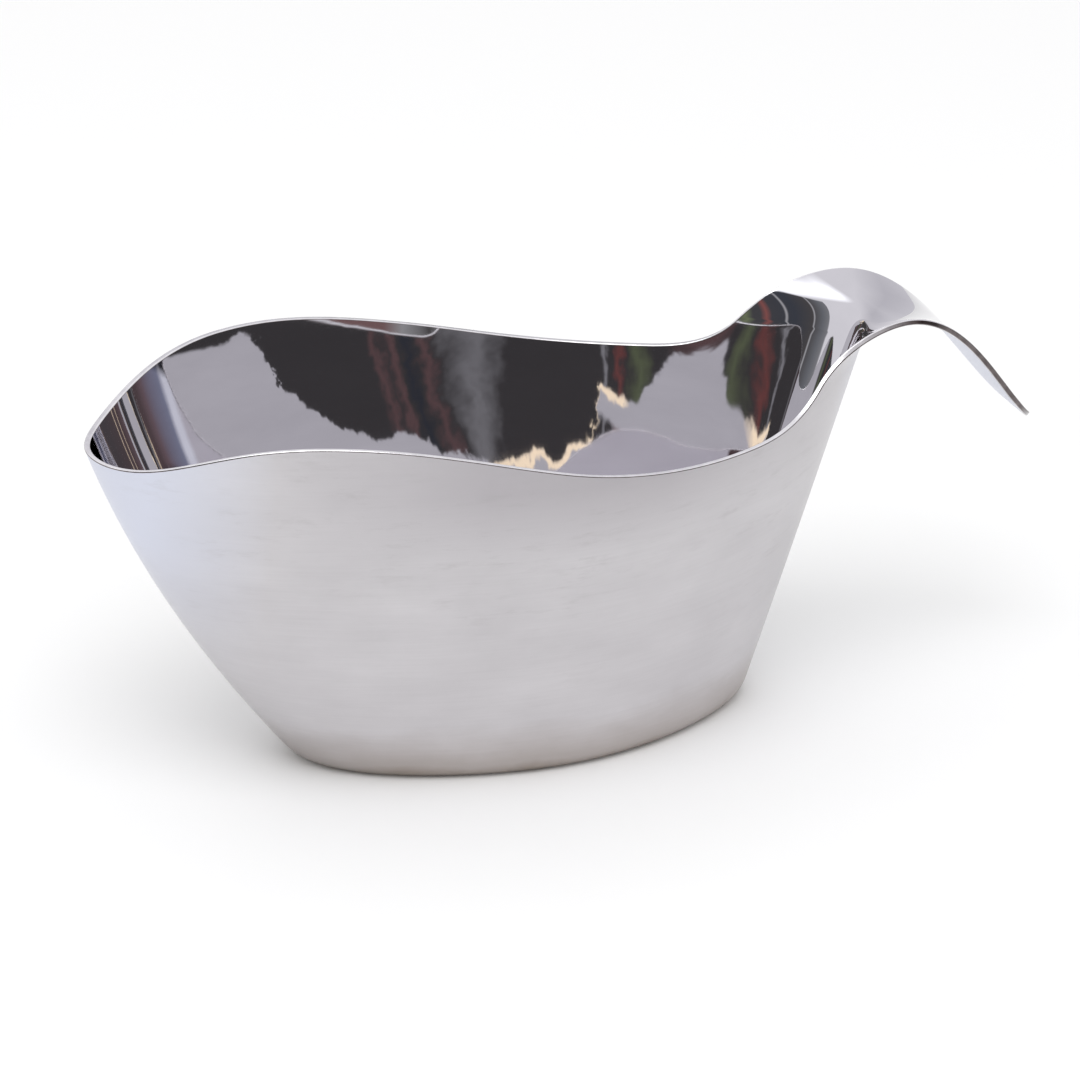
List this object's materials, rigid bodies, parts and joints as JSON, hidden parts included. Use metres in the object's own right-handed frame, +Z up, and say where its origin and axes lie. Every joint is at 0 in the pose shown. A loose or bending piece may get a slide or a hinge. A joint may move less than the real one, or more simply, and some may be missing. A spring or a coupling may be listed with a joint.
{
  "type": "sauce boat",
  "caption": "Sauce boat of thin stainless sheet: an open oval bowl with a wavy rim and a spout lip, and a channelled tongue handle that flows out of the rim.",
  "frame": {"origin": "centre of the flat foot that the boat stands on", "axes": "+Z up, +X along the boat towards the handle, with the spout towards -X, +Y across the boat, which is the same on both sides of the XZ plane"},
  "size_m": [0.2109, 0.0868, 0.0862],
  "materials": {
    "satin_steel": "satin",
    "polished_steel": "polished"
  },
  "bodies": {
    "root": {"body_wall": "satin_steel", "base_plate": "satin_steel", "handle": "polished_steel"}
  },
  "joints": []
}
